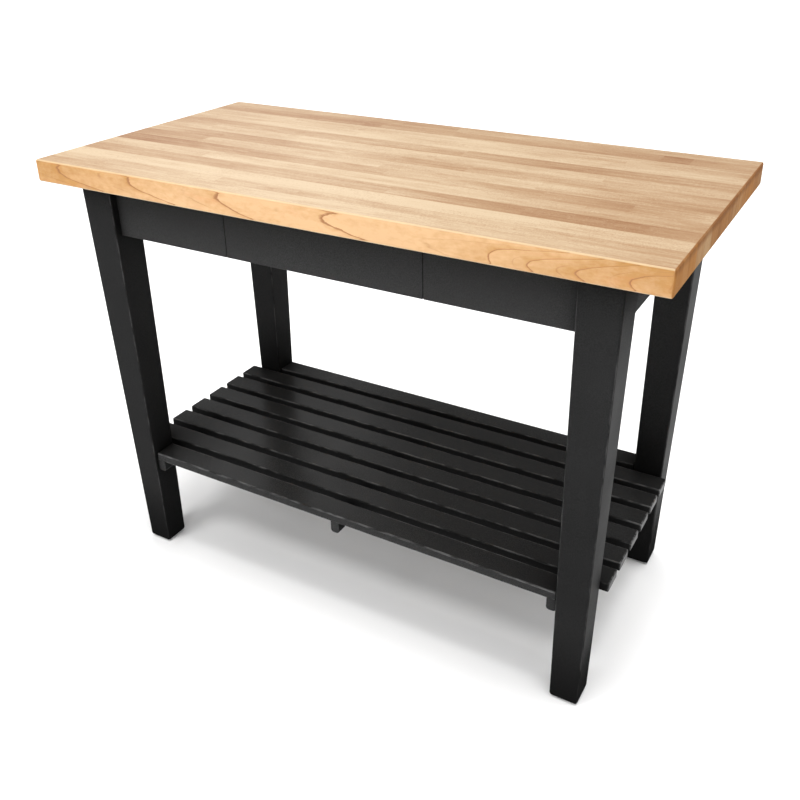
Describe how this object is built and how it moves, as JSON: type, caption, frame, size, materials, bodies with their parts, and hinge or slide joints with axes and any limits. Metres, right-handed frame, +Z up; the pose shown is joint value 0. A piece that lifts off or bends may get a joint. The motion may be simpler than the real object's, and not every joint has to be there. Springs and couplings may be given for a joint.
{
  "type": "butcher block table",
  "caption": "Kitchen work table with an edge-grain butcher block top, painted tapered legs, a flush drawer in the front apron and a slatted lower shelf.",
  "frame": {"origin": "centre of the table's footprint, on the floor", "axes": "+X to the right along the length, -Y to the front where the drawer opens, +Z up"},
  "size_m": [1.2192, 0.6096, 0.889],
  "materials": {
    "maple_top": "oiled maple, satin",
    "black_paint": "satin black paint on wood",
    "drawer_wood": "clear lacquer",
    "zinc_steel": "zinc plated"
  },
  "bodies": {
    "table": {"top_stave_01": "maple_top", "top_stave_02": "maple_top", "top_stave_03": "maple_top", "top_stave_04": "maple_top", "top_stave_05": "maple_top", "top_stave_06": "maple_top", "top_stave_07": "maple_top", "top_stave_08": "maple_top", "top_stave_09": "maple_top", "top_stave_10": "maple_top", "top_stave_11": "maple_top", "top_stave_12": "maple_top", "top_stave_13": "maple_top", "top_stave_14": "maple_top", "leg_front_left": "black_paint", "leg_front_right": "black_paint", "leg_back_left": "black_paint", "leg_back_right": "black_paint", "corner_brace_front_left": "black_paint", "corner_brace_front_right": "black_paint", "corner_brace_back_left": "black_paint", "corner_brace_back_right": "black_paint", "hanger_bolt_front_left": "zinc_steel", "hanger_bolt_front_right": "zinc_steel", "hanger_bolt_back_left": "zinc_steel", "hanger_bolt_back_right": "zinc_steel", "apron_front_left": "black_paint", "apron_front_right": "black_paint", "apron_left": "black_paint", "apron_right": "black_paint", "apron_back": "black_paint", "drawer_rail_left": "black_paint", "drawer_rail_right": "black_paint", "slide_cabinet_left": "zinc_steel", "slide_cabinet_right": "zinc_steel", "shelf_slat_1": "black_paint", "shelf_slat_2": "black_paint", "shelf_slat_3": "black_paint", "shelf_slat_4": "black_paint", "shelf_slat_5": "black_paint", "shelf_slat_6": "black_paint", "shelf_slat_7": "black_paint", "shelf_slat_8": "black_paint", "shelf_batten_left": "black_paint", "shelf_batten_middle": "black_paint", "shelf_batten_right": "black_paint", "shelf_screw_front_left": "zinc_steel", "shelf_screw_front_right": "zinc_steel", "shelf_screw_back_left": "zinc_steel", "shelf_screw_back_right": "zinc_steel"},
    "drawer": {"drawer_front": "black_paint", "drawer_side_left": "drawer_wood", "drawer_side_right": "drawer_wood", "drawer_back": "drawer_wood", "drawer_bottom": "drawer_wood", "slide_drawer_left": "zinc_steel", "slide_drawer_right": "zinc_steel"},
    "slide_middle_left": {"slide_middle_left": "zinc_steel"},
    "slide_middle_right": {"slide_middle_right": "zinc_steel"}
  },
  "joints": [
    {"name": "drawer_slide", "type": "slide", "parent": "table", "child": "drawer", "axis": [0, -1, 0], "range_m": [0, 0.38]},
    {"name": "slide_middle_left_slide", "type": "slide", "parent": "table", "child": "slide_middle_left", "axis": [0, -1, 0], "range_m": [0, 0.19]},
    {"name": "slide_middle_right_slide", "type": "slide", "parent": "table", "child": "slide_middle_right", "axis": [0, -1, 0], "range_m": [0, 0.19]}
  ],
  "couplings": [
    {"joint": "slide_middle_left_slide", "follows": "drawer_slide", "ratio": 0.5},
    {"joint": "slide_middle_right_slide", "follows": "drawer_slide", "ratio": 0.5}
  ]
}
